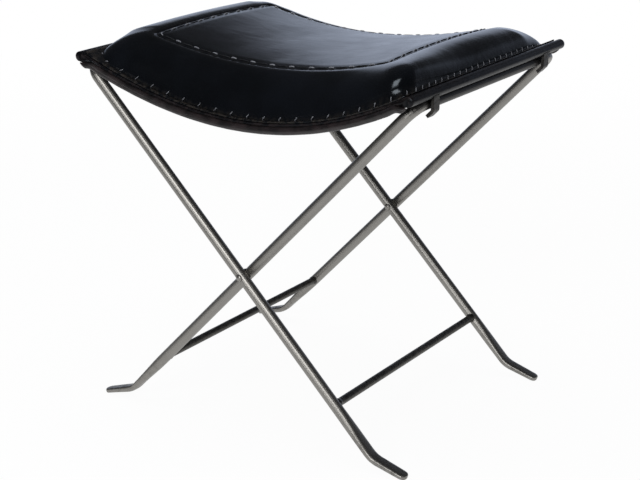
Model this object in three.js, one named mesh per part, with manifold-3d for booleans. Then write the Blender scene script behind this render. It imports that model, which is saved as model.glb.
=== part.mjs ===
import * as THREE from 'three';
import { mergeVertices } from 'three/addons/utils/BufferGeometryUtils.js';
import Module from 'manifold-3d';

const wasm = await Module();
wasm.setup();

// Driving dimensions in millimetres: +Z up, floor at zero, X along the seat, -Y the front.
const railSpan = 457.7; // between the axes of the two top rails
const railHeight = 447.9; // top rail axis above the floor
const toeInset = 1.2; // ends of the toe axes inside the outer faces of the rails
const rodDiameter = 14;
const seatWidth = 398; // leather base, front edge to rear edge at the sleeves
const legInset = 39.5; // seat width less the distance between the two legs of one bow
const seatSag = 61.3; // top of the sleeve down to the lowest line of the leather base
const cornerCrown = 47.5; // stuffed height above the base at a panel corner
const lengthCrown = 9.5; // further height midway along the panel's length
const widthCrown = 4.5; // further height midway across the panel

// Shared clearances and counts.
const gap = 0.3;
const overrun = 40;
const roundSides = 24;
const pinSides = 20;

// Bent iron bow.
const topBendRadius = 20;
const footBendRadius = 30;
const footLength = 48.3;
const footAngle = THREE.MathUtils.degToRad(16.4);
const footThickness = 8.6;
const footWidth = 17;
const toeThickness = 6.8;
const toeWidth = 16.4;
const toeRound = 6.6;
const toeThinShare = 0.82;
const toeHeight = 2.1; // axis of the foot above the floor at its tip
const forgedLength = 64;
const forgedSquareness = 3.4;
const roundSquareness = 2;
const topBendSteps = 8;
const footBendSteps = 5;
const toeSteps = 4;
const footSteps = 3;
const forgedSteps = 5;

// Rivet joint where the bows cross.
const rivetShank = 4.8;
const rivetHole = 5.4;
const rivetHead = 8.6;
const rivetHeadHeight = 2.8;
const peenHeight = 2.1;
const peenDiameter = 8;
const domeSteps = 5;
const spacerDiameter = 16;
const spacerThickness = 2.5;
const innerFlatDepth = 0.9;
const innerFlatDiameter = 18;
const outerFlatDepth = 0.7;
const outerFlatDiameter = 10;

// Stretcher welded between the legs of one bow, measured down the leg from the rivet.
const stretcherDiameter = 10;
const stretcherDrop = 193;
const weldDiameter = 12.6;
const weldLength = 4.5;

// Seat end rod and the leather sleeve round it.
const endRodDiameter = 9;
const endRodOffset = 5.8; // outward from the rail axis
const endRodChamfer = 1;
const sleeveThickness = 1.5;
const sleeveSteps = 14;
const sleeveEndDepth = 3.8; // leather that closes each end of a sleeve
const foldReach = 18; // corner fold inward from the end rod
const foldSteps = 6;

// Hooks welded under the end rod that drop outside the rail and turn in below it.
const hookInset = 55; // middle of a hook inward from the end of the sleeve
const hookWidth = 13;
const hookThickness = 4.2;
const hookClearance = 0.9;
const hookTopDrop = 1.8;
const hookBendRadius = 1.2;
const hookBendDrop = 5.4;
const lipAngle = THREE.MathUtils.degToRad(45);
const lipLength = 9;
const hookBendSteps = 4;
const notchClearance = 0.6;

// Leather base that hangs between the end rods.
const baseThickness = 3.5;
const returnInset = 10.8;
const sheetSteps = 24;
const fitRounds = 30;
const edgeDrawIn = 16;
const edgeSteps = 24;

// Rolled hem under the front and rear edges of the base.
const hemDiameter = 9;
const hemEndShare = 0.72;
const hemTaper = 24;
const hemInset = 4;
const hemFlare = 30;
const hemEndDrop = 0.6;
const hemOverhang = 1;
const hemSteps = 28;
const hemSides = 10;

// Cushion: sewn flange, bolster border and the panel sewn into the top.
const flangeThickness = 2;
const flangeEndInset = 5;
const flangeSideInset = 2;
const flangeWidth = 8;
const flangeRound = 7;
const bodyRound = 15;
const coverThickness = 2;
const bolsterPower = 1.5;
const cornerSlackShare = 0.95;
const bolsterSteps = 7;
const panelLength = 340;
const panelWidth = 264;
const panelRound = 8;
const panelDrawIn = 4;
const panelFullness = 3;
const seamGap = 0.5;
const creaseDepth = 2.4;
const creaseReach = 6;
const foamClearance = 0.9;
const lengthSteps = 15;
const widthSteps = 9;
const cornerSteps = 4;

// Share of the panel's reach at which its rings stand, from its sewn edge to its middle.
const panelRingShares = [1, 0.98, 0.95, 0.89, 0.76, 0.52, 0.26];
const floorRingShares = [0.75, 0.5, 0.25];

// Sizes that follow from the ones above.
const rodRadius = rodDiameter / 2;
const railX = railSpan / 2;
const legSpread = seatWidth - legInset;
const kneeHeight = toeHeight + footLength * Math.sin(footAngle);
const kneeX = railX + rodRadius - toeInset - footLength * Math.cos(footAngle);
const legAngle = Math.atan2(railHeight - kneeHeight, railX + kneeX);
const pivotHeight = kneeHeight + kneeX * Math.tan(legAngle);
const hookY = seatWidth / 2 - hookInset;
const bowOffset = 2 * (rodRadius - innerFlatDepth + gap) + spacerThickness;
const frontLegY = (bowOffset - legSpread) / 2;
const rearLegY = frontLegY + legSpread;
const crossingY = rearLegY - bowOffset / 2;
const endRodRadius = endRodDiameter / 2;
const sleeveRadius = endRodRadius + gap + sleeveThickness;
const endRodX = railX + endRodOffset;
const sleeveReach = sleeveRadius + rodRadius + gap;
const endRodZ = railHeight + Math.sqrt(sleeveReach ** 2 - endRodOffset ** 2);
const sheetLow = endRodZ + sleeveRadius - seatSag;
const flangeHalfLength = endRodX - flangeEndInset;
const flangeHalfWidth = seatWidth / 2 - flangeSideInset;
const bodyHalfLength = flangeHalfLength - flangeWidth;
const bodyHalfWidth = flangeHalfWidth - flangeWidth;
const flangeTop = gap + flangeThickness;

const iron = () => new THREE.MeshStandardMaterial({ color: 0x6d6d6c, roughness: 0.42, metalness: 0.9 });
const darkIron = () => new THREE.MeshStandardMaterial({ color: 0x3c3b39, roughness: 0.5, metalness: 0.8 });
const leather = () => new THREE.MeshStandardMaterial({ color: 0x0e0e11, roughness: 0.3 });
const rawLeather = () => new THREE.MeshStandardMaterial({ color: 0x2a2224, roughness: 0.55 });
const foam = () => new THREE.MeshStandardMaterial({ color: 0xc9b98f, roughness: 0.95 });

function part(name, geometry, material) {
  geometry.computeVertexNormals();
  const mesh = new THREE.Mesh(geometry, material);
  mesh.name = name;
  return mesh;
}

function indexed(points, triangles) {
  const geometry = new THREE.BufferGeometry();
  const positions = points.flatMap((point) => [point.x, point.y, point.z]);
  geometry.setAttribute('position', new THREE.Float32BufferAttribute(positions, 3));
  geometry.setIndex(triangles);
  return geometry;
}

// Joins and cuts work on welded copies that hold positions only.
function toSolid(geometry) {
  const copy = geometry.clone();
  copy.deleteAttribute('normal');
  copy.deleteAttribute('uv');
  const welded = mergeVertices(copy);
  return new wasm.Manifold(new wasm.Mesh({
    numProp: 3,
    vertProperties: new Float32Array(welded.attributes.position.array),
    triVerts: new Uint32Array(welded.index.array),
  }));
}

function cut(geometry, tools, added = []) {
  const whole = added.reduce((left, piece) => left.add(toSolid(piece)), toSolid(geometry));
  const solid = tools.reduce((left, tool) => left.subtract(toSolid(tool)), whole);
  const mesh = solid.getMesh();
  const result = new THREE.BufferGeometry();
  result.setAttribute('position', new THREE.Float32BufferAttribute(mesh.vertProperties, 3));
  result.setIndex(Array.from(mesh.triVerts));
  return result;
}

// A pin along Y between two stations.
function pin(diameter, start, end, sides = pinSides) {
  const shape = new THREE.CylinderGeometry(diameter / 2, diameter / 2, end - start, sides);
  return shape.translate(0, (start + end) / 2, 0);
}

// A profile in X and Z drawn out along Y, centred on the middle plane.
function prism(outlinePoints, depth) {
  const shape = new THREE.Shape(outlinePoints);
  const body = new THREE.ExtrudeGeometry(shape, { depth, bevelEnabled: false });
  return body.rotateX(Math.PI / 2).translate(0, depth / 2, 0);
}

// A skin through rings of equal count that turn counter-clockwise about the way they follow.
function skin(rings, closed) {
  const sides = rings[0].length;
  const triangles = [];
  const spans = closed ? rings.length : rings.length - 1;
  for (let i = 0; i < spans; i += 1) {
    const near = i * sides;
    const far = ((i + 1) % rings.length) * sides;
    for (let j = 0; j < sides; j += 1) {
      const next = (j + 1) % sides;
      triangles.push(near + j, near + next, far + next);
      triangles.push(near + j, far + next, far + j);
    }
  }
  return triangles;
}

function loft(rings) {
  const sides = rings[0].length;
  const last = (rings.length - 1) * sides;
  const triangles = skin(rings, false);
  for (let j = 1; j + 1 < sides; j += 1) {
    triangles.push(0, j + 1, j);
    triangles.push(last, last + j, last + j + 1);
  }
  return indexed(rings.flat(), triangles);
}

// Rings from a point below to a point above, closed to those two points.
function capsule(bottom, rings, top) {
  const sides = rings[0].length;
  const points = [...rings.flat(), bottom, top];
  const last = (rings.length - 1) * sides;
  const triangles = skin(rings, false);
  for (let j = 0; j < sides; j += 1) {
    const next = (j + 1) % sides;
    triangles.push(points.length - 2, next, j);
    triangles.push(points.length - 1, last + j, last + next);
  }
  return indexed(points, triangles);
}

// Unit directions in the plane of a leg: down and out toward the foot, and off its upper face.
const outward = (angle) => new THREE.Vector3(-Math.cos(angle), 0, -Math.sin(angle));
const upper = (angle) => new THREE.Vector3(-Math.sin(angle), 0, Math.cos(angle));
const mix = (from, to, share) => from + (to - from) * share;
const ease = (share) => share * share * (3 - 2 * share);

// A station of the bow, with its section as width across, thickness and squareness.
function section(place, across, normal, width, thickness, squareness) {
  return Array.from({ length: roundSides }, (_, i) => {
    const turn = (i / roundSides) * Math.PI * 2;
    const [c, s] = [Math.cos(turn), Math.sin(turn)];
    const sideways = (width / 2) * Math.sign(c) * Math.abs(c) ** (2 / squareness);
    const lifted = (thickness / 2) * Math.sign(s) * Math.abs(s) ** (2 / squareness);
    return place.clone().addScaledVector(across, sideways).addScaledVector(normal, lifted);
  });
}

// Rings from the toe up one leg and round the bend into the rail; side is 1 in front, -1 behind.
function legRings(y, side) {
  const across = new THREE.Vector3(0, side, 0);
  const rings = [];
  const knee = new THREE.Vector3(-kneeX, y, kneeHeight);
  for (let i = 0; i <= toeSteps; i += 1) {
    const turn = (i / toeSteps) * (Math.PI / 2);
    const reach = footLength - toeRound * (1 - Math.cos(turn));
    const width = toeWidth - 2 * toeRound * (1 - Math.sin(turn));
    const thickness = toeThickness * mix(toeThinShare, 1, Math.sin(turn));
    const place = knee.clone().addScaledVector(outward(footAngle), reach);
    rings.push(section(place, across, upper(footAngle), width, thickness, forgedSquareness));
  }
  const bendReach = footBendRadius * Math.tan((legAngle - footAngle) / 2);
  for (let i = 1; i < footSteps; i += 1) {
    const share = i / footSteps;
    const reach = mix(footLength - toeRound, bendReach, share);
    const place = knee.clone().addScaledVector(outward(footAngle), reach);
    const width = mix(toeWidth, footWidth, share);
    const thickness = mix(toeThickness, footThickness, share);
    rings.push(section(place, across, upper(footAngle), width, thickness, forgedSquareness));
  }
  const bendStart = knee.clone().addScaledVector(outward(footAngle), bendReach);
  const bendCentre = bendStart.addScaledVector(upper(footAngle), footBendRadius);
  for (let i = 0; i <= footBendSteps; i += 1) {
    const angle = mix(footAngle, legAngle, i / footBendSteps);
    const place = bendCentre.clone().addScaledVector(upper(angle), -footBendRadius);
    rings.push(section(place, across, upper(angle), footWidth, footThickness, forgedSquareness));
  }
  for (let i = 1; i <= forgedSteps; i += 1) {
    const share = i / forgedSteps;
    const eased = ease(share);
    const place = knee.clone().addScaledVector(outward(legAngle), -bendReach - forgedLength * share);
    const width = mix(footWidth, rodDiameter, eased);
    const thickness = mix(footThickness, rodDiameter, eased);
    const squareness = mix(forgedSquareness, roundSquareness, eased);
    rings.push(section(place, across, upper(legAngle), width, thickness, squareness));
  }
  const up = outward(legAngle).negate();
  const bend = new THREE.Vector3(railX, y + side * topBendRadius, railHeight);
  bend.addScaledVector(up, -topBendRadius);
  for (let i = 0; i <= topBendSteps; i += 1) {
    const turn = (i / topBendSteps) * (Math.PI / 2);
    const place = bend.clone().addScaledVector(across, -topBendRadius * Math.cos(turn));
    place.addScaledVector(up, topBendRadius * Math.sin(turn));
    const turned = across.clone().multiplyScalar(Math.cos(turn)).addScaledVector(up, -Math.sin(turn));
    rings.push(section(place, turned, upper(legAngle), rodDiameter, rodDiameter, roundSquareness));
  }
  return rings;
}

// The bow whose rail is on the right; the other one is the same piece turned half round.
function bow() {
  const body = loft([...legRings(frontLegY, 1), ...legRings(rearLegY, -1).reverse()]);
  const floor = new THREE.BoxGeometry(railSpan + railSpan, seatWidth + seatWidth, overrun);
  const tools = [floor.translate(0, 0, -overrun / 2)];
  for (const y of [frontLegY, rearLegY]) {
    const inner = y - rodRadius + innerFlatDepth;
    const outer = y + rodRadius - outerFlatDepth;
    tools.push(pin(rivetHole, y - rodDiameter, y + rodDiameter).translate(0, 0, pivotHeight));
    tools.push(pin(innerFlatDiameter, y - rodDiameter, inner, roundSides).translate(0, 0, pivotHeight));
    tools.push(pin(outerFlatDiameter, outer, y + rodDiameter).translate(0, 0, pivotHeight));
  }
  return cut(body, tools);
}

// Stretcher with its weld beads, saddled to both legs.
function stretcher() {
  const half = legSpread / 2;
  const [thin, thick] = [stretcherDiameter / 2, weldDiameter / 2];
  const beadEnd = half - rodRadius - weldLength;
  const profile = [[0, -half], [thick, -half], [thick, -beadEnd - weldLength], [thin, -beadEnd],
    [thin, beadEnd], [thick, beadEnd + weldLength], [thick, half], [0, half]];
  const body = new THREE.LatheGeometry(profile.map(([r, y]) => new THREE.Vector2(r, y)), pinSides);
  const saddles = [-half, half].map((y) => {
    const saddle = new THREE.CylinderGeometry(rodRadius + gap, rodRadius + gap, overrun, roundSides);
    return saddle.rotateZ(-Math.PI / 2).rotateY(-legAngle).translate(0, y, 0);
  });
  const x = -stretcherDrop * Math.cos(legAngle);
  const z = pivotHeight - stretcherDrop * Math.sin(legAngle);
  return cut(body, saddles).translate(x, (frontLegY + rearLegY) / 2, z);
}

function dome(radius, height, base, direction) {
  return Array.from({ length: domeSteps + 1 }, (_, i) => {
    const turn = (i / domeSteps) * (Math.PI / 2);
    return new THREE.Vector2(radius * Math.sin(turn), base + direction * height * Math.cos(turn));
  });
}

// Rivet through both legs, its head in front and its peened end behind.
function rivet(y) {
  const seat = bowOffset / 2 + rodRadius - outerFlatDepth + gap;
  const shank = rivetShank / 2;
  const profile = [
    ...dome(rivetHead / 2, rivetHeadHeight, -seat, -1),
    new THREE.Vector2(shank, -seat),
    new THREE.Vector2(shank, seat),
    ...dome(peenDiameter / 2, peenHeight, seat, 1).reverse(),
  ];
  profile[0].x = 0;
  profile[profile.length - 1].x = 0;
  return new THREE.LatheGeometry(profile, pinSides).translate(0, y, pivotHeight);
}

function spacer(y) {
  const half = spacerThickness / 2;
  const [inner, outer] = [rivetHole / 2, spacerDiameter / 2];
  const profile = [[inner, -half], [outer, -half], [outer, half], [inner, half], [inner, -half]];
  const points = profile.map(([r, at]) => new THREE.Vector2(r, at));
  return new THREE.LatheGeometry(points, roundSides).translate(0, y, pivotHeight);
}

function endRod() {
  const half = seatWidth / 2 - sleeveEndDepth - gap;
  const [face, round] = [endRodRadius - endRodChamfer, endRodRadius];
  const profile = [[0, -half], [face, -half], [round, endRodChamfer - half],
    [round, half - endRodChamfer], [face, half], [0, half]];
  const points = profile.map(([r, y]) => new THREE.Vector2(r, y));
  return new THREE.LatheGeometry(points, pinSides).translate(endRodX, 0, endRodZ);
}

// Strap hook for the right rail, saddled to the end rod above it.
function hook(y) {
  const inner = railX + rodRadius + hookClearance;
  const outer = inner + hookThickness;
  const top = endRodZ - hookTopDrop;
  const centre = new THREE.Vector2(inner - hookBendRadius, railHeight - hookBendDrop);
  const round = (radius, step) => {
    const turn = -lipAngle * (step / hookBendSteps);
    return new THREE.Vector2(Math.cos(turn), Math.sin(turn)).multiplyScalar(radius).add(centre);
  };
  const lip = new THREE.Vector2(-Math.sin(lipAngle), -Math.cos(lipAngle)).multiplyScalar(lipLength);
  const steps = Array.from({ length: hookBendSteps + 1 }, (_, i) => i);
  const outside = steps.map((i) => round(hookBendRadius + hookThickness, i));
  const inside = steps.map((i) => round(hookBendRadius, i));
  const profile = [
    new THREE.Vector2(inner, top),
    ...inside,
    inside[hookBendSteps].clone().add(lip),
    outside[hookBendSteps].clone().add(lip),
    ...outside.reverse(),
    new THREE.Vector2(outer, top),
  ];
  const rod = new THREE.CylinderGeometry(endRodRadius + gap, endRodRadius + gap, overrun, roundSides);
  const body = prism(profile, hookWidth);
  return cut(body, [rod.translate(endRodX, 0, endRodZ)]).translate(0, y, 0);
}

// The base hangs in a parabola that runs smoothly on to the top of each sleeve.
function fitSheet() {
  let tangentX = endRodX;
  let curve = 0;
  for (let i = 0; i < fitRounds; i += 1) {
    const slope = Math.atan(2 * curve * tangentX);
    tangentX = endRodX - sleeveRadius * Math.sin(slope);
    curve = (endRodZ + sleeveRadius * Math.cos(slope) - sheetLow) / tangentX ** 2;
  }
  return { tangentX, curve };
}

const sheet = fitSheet();
const sheetTop = (x) => sheetLow + sheet.curve * x * x;
const sheetSlope = (x) => Math.atan(2 * sheet.curve * x);
const drawnIn = (x, amount) => amount * Math.max(0, 1 - (x / endRodX) ** 2);

// A place under the sheet at a given depth square to it.
function beneath(x, depth) {
  const slope = sheetSlope(x);
  return new THREE.Vector2(x + depth * Math.sin(slope), sheetTop(x) - depth * Math.cos(slope));
}

function sleeveArc() {
  const start = Math.PI / 2 + sheetSlope(sheet.tangentX);
  const end = Math.atan2(railHeight - endRodZ, railX - endRodX);
  return Array.from({ length: sleeveSteps + 1 }, (_, i) => {
    const turn = mix(start, end, i / sleeveSteps);
    return new THREE.Vector2(Math.cos(turn), Math.sin(turn))
      .multiplyScalar(sleeveRadius)
      .add(new THREE.Vector2(endRodX, endRodZ));
  });
}

// Bore for an end rod; leather closes it at both ends.
function bore(x) {
  const half = seatWidth / 2 - sleeveEndDepth;
  return pin(endRodDiameter + 2 * gap, -half, half, roundSides).translate(x, 0, endRodZ);
}

// Everything beyond the drawn-in front or rear edge of the base.
function edgeTool(side) {
  const reach = endRodX + overrun;
  const points = Array.from({ length: edgeSteps + 1 }, (_, i) => {
    const x = mix(-reach, reach, i / edgeSteps);
    return new THREE.Vector2(x, side * (seatWidth / 2 - drawnIn(x, edgeDrawIn)));
  });
  points.push(new THREE.Vector2(reach, side * seatWidth));
  points.push(new THREE.Vector2(-reach, side * seatWidth));
  const tool = new THREE.ExtrudeGeometry(new THREE.Shape(points), { depth: railHeight, bevelEnabled: false });
  return tool.translate(0, 0, railHeight / 2);
}

// Opening in the sleeve through which a hook comes out below the end rod.
function notch(side, y) {
  const start = railX + rodRadius + hookClearance - notchClearance;
  const top = endRodZ - hookTopDrop + notchClearance;
  const width = hookWidth + 2 * notchClearance;
  const tool = new THREE.BoxGeometry(overrun, width, overrun);
  return tool.translate(side * (start + overrun / 2), y, top - overrun / 2);
}

function seatBase() {
  const corner = endRodX - returnInset;
  const upperSide = Array.from({ length: sheetSteps + 1 }, (_, i) => {
    const x = mix(-sheet.tangentX, sheet.tangentX, i / sheetSteps);
    return new THREE.Vector2(x, sheetTop(x));
  });
  const lowerSide = Array.from({ length: sheetSteps + 1 }, (_, i) => (
    beneath(mix(corner, -corner, i / sheetSteps), baseThickness)
  ));
  const right = sleeveArc();
  const left = right.map(({ x, y }) => new THREE.Vector2(-x, y)).reverse();
  const outlinePoints = [...upperSide.slice(0, -1), ...right, ...lowerSide, ...left.slice(0, -1)];
  const tools = [-1, 1].flatMap((side) => [
    edgeTool(side),
    bore(side * endRodX),
    ...[-1, 1].map((end) => notch(side, end * hookY)),
  ]);
  const folds = [-1, 1].flatMap((side) => [0, Math.PI].map((turn) => cornerFold(side).rotateZ(turn)));
  return cut(prism(outlinePoints, seatWidth), tools, folds);
}

// Axis of the hem roll: below the sheet, then levelling off to pass below the sleeve.
function hemPath(x, diameter) {
  const reach = endRodX - hemInset;
  const place = beneath(x, baseThickness + gap + diameter / 2);
  const late = ease(Math.max(0, (Math.abs(x) - reach + hemFlare) / hemFlare));
  const end = endRodZ - sleeveRadius - gap - diameter / 2 - hemEndDrop;
  return new THREE.Vector2(mix(place.x, x, late), mix(place.y, end, late));
}

// Axis, radius and upward direction of the hem roll at a station.
function hemStation(x) {
  const near = Math.min(1, (endRodX - hemInset - Math.abs(x)) / hemTaper);
  const diameter = hemDiameter * mix(hemEndShare, 1, Math.sqrt(near));
  const slope = sheetSlope(x) * near;
  const normal = new THREE.Vector2(-Math.sin(slope), Math.cos(slope));
  return { place: hemPath(x, diameter), radius: diameter / 2, normal };
}

function hem(side) {
  const reach = endRodX - hemInset;
  const across = new THREE.Vector3(0, 1, 0);
  const rings = Array.from({ length: hemSteps + 1 }, (_, i) => {
    const x = mix(-reach, reach, i / hemSteps);
    const { place, radius, normal } = hemStation(x);
    const y = side * (seatWidth / 2 + hemOverhang - drawnIn(x, edgeDrawIn));
    const upward = new THREE.Vector3(normal.x, 0, normal.y);
    const centre = new THREE.Vector3(place.x, y, place.y);
    return Array.from({ length: hemSides }, (_unused, j) => {
      const turn = (j / hemSides) * Math.PI * 2;
      return centre.clone()
        .addScaledVector(across, radius * Math.cos(turn))
        .addScaledVector(upward, radius * Math.sin(turn));
    });
  });
  return loft(rings);
}

// Leather folded down from the sheet between the end of a right sleeve and the hem roll.
function cornerFold(side) {
  const [start, end] = [endRodX - foldReach, endRodX - hemInset];
  const steps = Array.from({ length: foldSteps + 1 }, (_, i) => i / foldSteps);
  const upperSide = steps.map((share) => beneath(mix(start, sheet.tangentX, share), baseThickness / 2));
  const lowerSide = steps.map((share) => {
    const { place, radius, normal } = hemStation(mix(end, start, share));
    return place.clone().addScaledVector(normal, radius + gap);
  });
  const sleeve = [new THREE.Vector2(endRodX, endRodZ), new THREE.Vector2(endRodX, endRodZ - sleeveRadius)];
  const fold = prism([...upperSide, ...sleeve, ...lowerSide], sleeveEndDepth);
  return fold.translate(0, side * (seatWidth - sleeveEndDepth) / 2, 0);
}

// Rounded outline, counter-clockwise from above, its long sides drawn in at the middle.
function outline(halfLength, halfWidth, round, amount) {
  const corners = [[1, 1], [-1, 1], [-1, -1], [1, -1]];
  const ways = [[-1, 0], [0, -1], [1, 0], [0, 1]];
  const points = [];
  corners.forEach(([signX, signY], side) => {
    const centre = new THREE.Vector2(signX * (halfLength - round), signY * (halfWidth - round));
    for (let i = 0; i <= cornerSteps; i += 1) {
      const turn = (side + i / cornerSteps) * (Math.PI / 2);
      const spoke = new THREE.Vector2(Math.cos(turn), Math.sin(turn));
      points.push(spoke.multiplyScalar(round).add(centre));
    }
    const alongWidth = side % 2 === 1;
    const count = alongWidth ? widthSteps : lengthSteps;
    const run = 2 * ((alongWidth ? halfWidth : halfLength) - round);
    const start = points[points.length - 1].clone();
    const way = new THREE.Vector2(...ways[side]);
    for (let i = 1; i < count; i += 1) {
      points.push(start.clone().addScaledVector(way, (run * i) / count));
    }
  });
  return points.map(({ x, y }) => new THREE.Vector2(x, y * (1 - drawnIn(x, amount) / halfWidth)));
}

// Height of the panel's upper face above the sheet, before the crease at its seam.
function panelCrown(x, y) {
  const [u, v] = [2 * x / panelLength, 2 * y / panelWidth];
  const [spareX, spareY] = [Math.max(0, 1 - u * u), Math.max(0, 1 - v * v)];
  return cornerCrown + lengthCrown * spareX + widthCrown * spareY + panelFullness * spareX * spareY;
}

const crease = (distance) => creaseDepth * Math.exp(-((distance / creaseReach) ** 2));

// The bolster at one station of the outline, as points from its sewn foot up to the panel's seam.
function bolsterProfile(foot, rim) {
  const reach = foot.distanceTo(rim);
  const crown = panelCrown(rim.x, rim.y);
  const [deepX, deepY] = [bodyHalfLength - panelLength / 2, bodyHalfWidth - panelWidth / 2];
  const nearX = Math.max(0, 1 - (bodyHalfLength - Math.abs(foot.x)) / deepX);
  const widthHere = bodyHalfWidth - drawnIn(foot.x, edgeDrawIn);
  const nearY = Math.max(0, 1 - (widthHere - Math.abs(foot.y)) / deepY);
  const power = 1 + cornerSlackShare * nearX * nearY;
  return Array.from({ length: bolsterSteps + 1 }, (_, i) => {
    const share = (i / bolsterSteps) ** 2;
    const swell = Math.sqrt(1 - (1 - share) ** bolsterPower) ** power;
    const place = foot.clone().lerp(rim, share);
    const rise = mix(flangeTop, crown, swell) - crease(reach * (1 - share)) * share;
    return { q: reach * share, z: sheetTop(place.x) + rise };
  });
}

// The same profile moved inward by a depth square to itself; its two ends stay level or upright.
function inset(profile, depth) {
  return profile.map(({ q, z }, i) => {
    if (i === 0) return { q: q + depth, z };
    if (i === profile.length - 1) return { q, z: z - depth };
    const [before, after] = [profile[i - 1], profile[i + 1]];
    const way = new THREE.Vector2(after.q - before.q, after.z - before.z).normalize();
    return { q: q + depth * way.y, z: z - depth * way.x };
  });
}

const flangeOutline = outline(flangeHalfLength, flangeHalfWidth, flangeRound, edgeDrawIn);
const bodyOutline = outline(bodyHalfLength, bodyHalfWidth, bodyRound, edgeDrawIn);
const seamOutline = outline(panelLength / 2, panelWidth / 2, panelRound, panelDrawIn);

// Place at a distance q from a body outline point toward its seam point.
function toward(foot, rim, q, z) {
  const place = foot.clone().addScaledVector(rim.clone().sub(foot).normalize(), q);
  return new THREE.Vector3(place.x, place.y, z);
}

// Border: flange, bolster and its inside as one loop, carried round the cushion.
function cushionBorder() {
  const rings = bodyOutline.map((foot, i) => {
    const [edge, rim] = [flangeOutline[i], seamOutline[i]];
    const outer = bolsterProfile(foot, rim);
    const inner = inset(outer, coverThickness).reverse();
    const wall = toward(foot, rim, coverThickness, 0);
    return [
      new THREE.Vector3(edge.x, edge.y, sheetTop(edge.x) + gap),
      new THREE.Vector3(edge.x, edge.y, sheetTop(edge.x) + flangeTop),
      ...outer.map(({ q, z }) => toward(foot, rim, q, z)),
      ...inner.map(({ q, z }) => toward(foot, rim, q, z)),
      wall.setZ(sheetTop(wall.x) + gap),
    ].reverse();
  });
  return indexed(rings.flat(), skin(rings, true));
}

// One ring of the panel's outline drawn toward its middle, at a depth below the upper face.
function panelRing(share, rim, depth) {
  return rim.map(({ x, y }) => {
    const rise = panelCrown(x * share, y * share) - crease((1 - share) * Math.hypot(x, y));
    return new THREE.Vector3(x * share, y * share, sheetTop(x * share) + rise - depth);
  });
}

function cushionPanel() {
  const round = panelRound - seamGap;
  const rim = outline(panelLength / 2 - seamGap, panelWidth / 2 - seamGap, round, panelDrawIn);
  const lower = panelRingShares.map((share) => panelRing(share, rim, coverThickness)).reverse();
  const above = panelRingShares.map((share) => panelRing(share, rim, 0));
  const middle = sheetLow + panelCrown(0, 0);
  const [bottom, top] = [middle - coverThickness, middle].map((z) => new THREE.Vector3(0, 0, z));
  return capsule(bottom, [...lower, ...above], top);
}

// Stuffing that fills the cover down to the base.
function foamCore() {
  const depth = coverThickness + foamClearance;
  const feet = bodyOutline.map((foot, i) => toward(foot, seamOutline[i], depth, 0));
  const floor = (share) => feet.map(({ x, y }) => (
    new THREE.Vector3(x * share, y * share, sheetTop(x * share) + gap)
  ));
  const profiles = bodyOutline.map((foot, i) => inset(bolsterProfile(foot, seamOutline[i]), depth));
  const sides = profiles[0].map((_unused, step) => profiles.map((profile, i) => {
    const { q, z } = profile[step];
    return toward(bodyOutline[i], seamOutline[i], q, z);
  }));
  const lower = [...floorRingShares].reverse().map(floor);
  const above = panelRingShares.slice(1).map((share) => panelRing(share, seamOutline, depth));
  const bottom = new THREE.Vector3(0, 0, sheetLow + gap);
  const top = new THREE.Vector3(0, 0, sheetLow + panelCrown(0, 0) - depth);
  return capsule(bottom, [...lower, floor(1), ...sides, ...above], top);
}

const stool = new THREE.Group();
stool.name = 'x_frame_stool';

stool.add(part('bow_a', bow().rotateZ(Math.PI), iron()));
stool.add(part('bow_b', bow(), iron()));
stool.add(part('stretcher_a', stretcher().rotateZ(Math.PI), iron()));
stool.add(part('stretcher_b', stretcher(), iron()));
for (const [place, y] of [['front', -crossingY], ['rear', crossingY]]) {
  stool.add(part(`rivet_${place}`, rivet(y), darkIron()));
  stool.add(part(`spacer_${place}`, spacer(y), darkIron()));
}

// The left end of the seat is the right end turned half round.
for (const [end, turn] of [['left', Math.PI], ['right', 0]]) {
  stool.add(part(`end_rod_${end}`, endRod().rotateZ(turn), darkIron()));
  for (const [place, side] of [['front', -1], ['rear', 1]]) {
    const y = side * hookY * Math.cos(turn);
    stool.add(part(`hook_${end}_${place}`, hook(y).rotateZ(turn), darkIron()));
  }
}

stool.add(part('seat_base', seatBase(), rawLeather()));
stool.add(part('hem_front', hem(-1), rawLeather()));
stool.add(part('hem_rear', hem(1), rawLeather()));
stool.add(part('cushion_border', cushionBorder(), leather()));
stool.add(part('cushion_panel', cushionPanel(), leather()));
stool.add(part('foam_core', foamCore(), foam()));

export default stool;
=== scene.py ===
"""Folding stool with two crossed iron bows and a stuffed black leather seat hung between end rods.

Lengths in the tables are millimetres and are turned into metres where a mesh is made; what is an angle, a
share or a count says so. X runs along the seat, -Y is the front and +Z is up, as in the CAD model.
"""

import functools
import math

import bpy
import numpy as np
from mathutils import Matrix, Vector


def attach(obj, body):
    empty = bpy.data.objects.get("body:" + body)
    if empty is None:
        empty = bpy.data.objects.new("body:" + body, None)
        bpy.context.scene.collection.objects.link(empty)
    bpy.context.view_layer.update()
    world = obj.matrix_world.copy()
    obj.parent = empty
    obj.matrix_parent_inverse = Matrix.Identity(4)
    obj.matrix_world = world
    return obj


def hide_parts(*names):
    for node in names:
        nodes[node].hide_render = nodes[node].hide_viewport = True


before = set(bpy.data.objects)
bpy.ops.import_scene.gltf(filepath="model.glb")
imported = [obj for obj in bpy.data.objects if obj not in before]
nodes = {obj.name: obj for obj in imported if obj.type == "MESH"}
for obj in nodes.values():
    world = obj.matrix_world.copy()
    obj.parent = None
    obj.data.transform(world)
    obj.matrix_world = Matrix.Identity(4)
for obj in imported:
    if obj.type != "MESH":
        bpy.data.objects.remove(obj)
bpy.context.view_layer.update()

MM = 0.001

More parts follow.
